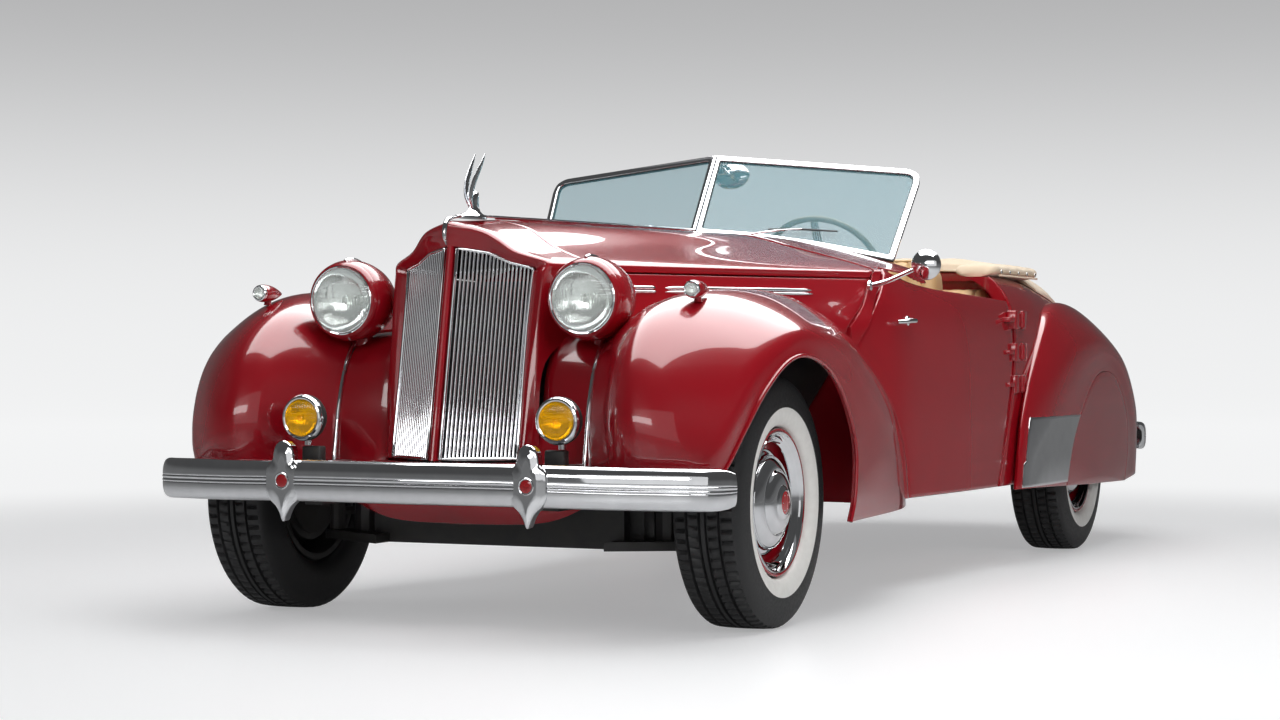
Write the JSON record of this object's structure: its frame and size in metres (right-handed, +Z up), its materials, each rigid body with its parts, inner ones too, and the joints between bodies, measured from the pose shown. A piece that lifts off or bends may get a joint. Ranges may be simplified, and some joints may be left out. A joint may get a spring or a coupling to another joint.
{
  "type": "classic convertible car",
  "caption": "Open two-door classic touring car with flowing separate fenders, an upright grille of slim bars, folded top under a cover, and wheels, doors and lids that move.",
  "frame": {"origin": "on the ground, below the middle of the car's bounding box", "axes": "+Z up, the car's front faces -Y, +X is the car's left side"},
  "size_m": [1.9142, 5.1107, 1.462],
  "materials": {
    "red_enamel": "deep gloss",
    "chrome": "polished",
    "black_chassis": "satin",
    "tyre_rubber": "matt",
    "tan_leather": "soft sheen",
    "tan_canvas": "woven",
    "ivory_plastic": "gloss",
    "windscreen_glass": "clear",
    "amber_glass": "fluted"
  },
  "bodies": {
    "chassis": {"cowl": "red_enamel", "driveline": "black_chassis", "engine": "black_chassis", "exhaust": "black_chassis", "fender_skirt_left": "red_enamel", "fender_skirt_right": "red_enamel", "floor": "black_chassis", "fog_lamp_left": "amber_glass", "fog_lamp_right": "amber_glass", "frame": "black_chassis", "front_apron": "red_enamel", "front_bumper": "chrome", "front_fender_left": "red_enamel", "front_fender_right": "red_enamel", "front_seat": "tan_leather", "front_suspension": "black_chassis", "fuel_tank": "black_chassis", "grille_left": "chrome", "grille_right": "chrome", "headlamp_left": "red_enamel", "headlamp_right": "red_enamel", "hood_side_left": "red_enamel", "hood_side_right": "red_enamel", "ornament": "chrome", "parking_lamp_left": "red_enamel", "parking_lamp_right": "red_enamel", "radiator": "black_chassis", "radiator_shell": "red_enamel", "rear_body": "red_enamel", "rear_bumper": "chrome", "rear_fender_left": "red_enamel", "rear_fender_right": "red_enamel", "rear_seat": "tan_leather", "side_mirror": "chrome", "tail_lamp_left": "red_enamel", "tail_lamp_right": "red_enamel", "top_cover": "tan_canvas", "trunk_floor": "black_chassis", "windscreen_frame": "chrome", "windscreen_glass_left": "windscreen_glass", "windscreen_glass_right": "windscreen_glass"},
    "door_left": {"door_left": "red_enamel"},
    "door_right": {"door_right": "red_enamel"},
    "hood_left": {"hood_left": "red_enamel"},
    "hood_right": {"hood_right": "red_enamel"},
    "trunk_lid": {"trunk_lid": "red_enamel"},
    "knuckle_left": {"knuckle_left": "black_chassis"},
    "knuckle_right": {"knuckle_right": "black_chassis"},
    "steering_wheel": {"steering_wheel": "ivory_plastic"},
    "wheel_front_left": {"wheel_front_left": "chrome", "tyre_front_left": "tyre_rubber"},
    "wheel_front_right": {"wheel_front_right": "chrome", "tyre_front_right": "tyre_rubber"},
    "wheel_rear_left": {"wheel_rear_left": "chrome", "tyre_rear_left": "tyre_rubber"},
    "wheel_rear_right": {"wheel_rear_right": "chrome", "tyre_rear_right": "tyre_rubber"}
  },
  "joints": [
    {"name": "steer_left", "type": "hinge", "parent": "chassis", "child": "knuckle_left", "pos_m": [0.6, -1.863, 0.357], "axis": [0, 0, 1], "range_deg": [-32, 32]},
    {"name": "roll_front_left", "type": "hinge", "parent": "knuckle_left", "child": "wheel_front_left", "pos_m": [0.75, -1.863, 0.357], "axis": [1, 0, 0], "continuous": true},
    {"name": "roll_rear_left", "type": "hinge", "parent": "chassis", "child": "wheel_rear_left", "pos_m": [0.76, 1.363, 0.357], "axis": [1, 0, 0], "continuous": true},
    {"name": "door_left_hinge", "type": "hinge", "parent": "chassis", "child": "door_left", "pos_m": [0.8722, 0.4749, 0.776], "axis": [0, 0, 1], "range_deg": [0, 65]},
    {"name": "hood_left_hinge", "type": "hinge", "parent": "chassis", "child": "hood_left", "pos_m": [0, -1.9848, 1.1653], "axis": [0, -0.9999, -0.0153], "range_deg": [0, 45]},
    {"name": "steer_right", "type": "hinge", "parent": "chassis", "child": "knuckle_right", "pos_m": [-0.6, -1.863, 0.357], "axis": [0, 0, 1], "range_deg": [-32, 32]},
    {"name": "roll_front_right", "type": "hinge", "parent": "knuckle_right", "child": "wheel_front_right", "pos_m": [-0.75, -1.863, 0.357], "axis": [1, 0, 0], "continuous": true},
    {"name": "roll_rear_right", "type": "hinge", "parent": "chassis", "child": "wheel_rear_right", "pos_m": [-0.76, 1.363, 0.357], "axis": [1, 0, 0], "continuous": true},
    {"name": "door_right_hinge", "type": "hinge", "parent": "chassis", "child": "door_right", "pos_m": [-0.8722, 0.4749, 0.776], "axis": [0, 0, -1], "range_deg": [0, 65]},
    {"name": "hood_right_hinge", "type": "hinge", "parent": "chassis", "child": "hood_right", "pos_m": [0, -1.9848, 1.1653], "axis": [0, 0.9999, 0.0153], "range_deg": [0, 45]},
    {"name": "trunk_lid_hinge", "type": "hinge", "parent": "chassis", "child": "trunk_lid", "pos_m": [0, 1.6901, 1.0287], "axis": [1, 0, 0], "range_deg": [0, 60]},
    {"name": "steering_wheel_turn", "type": "hinge", "parent": "chassis", "child": "steering_wheel", "pos_m": [0.345, -0.163, 1.062], "axis": [0, 0.848, 0.5299], "range_deg": [-448, 448]}
  ],
  "couplings": [
    {"joint": "steer_right", "follows": "steer_left", "ratio": 1},
    {"joint": "steering_wheel_turn", "follows": "steer_left", "ratio": 14}
  ]
}
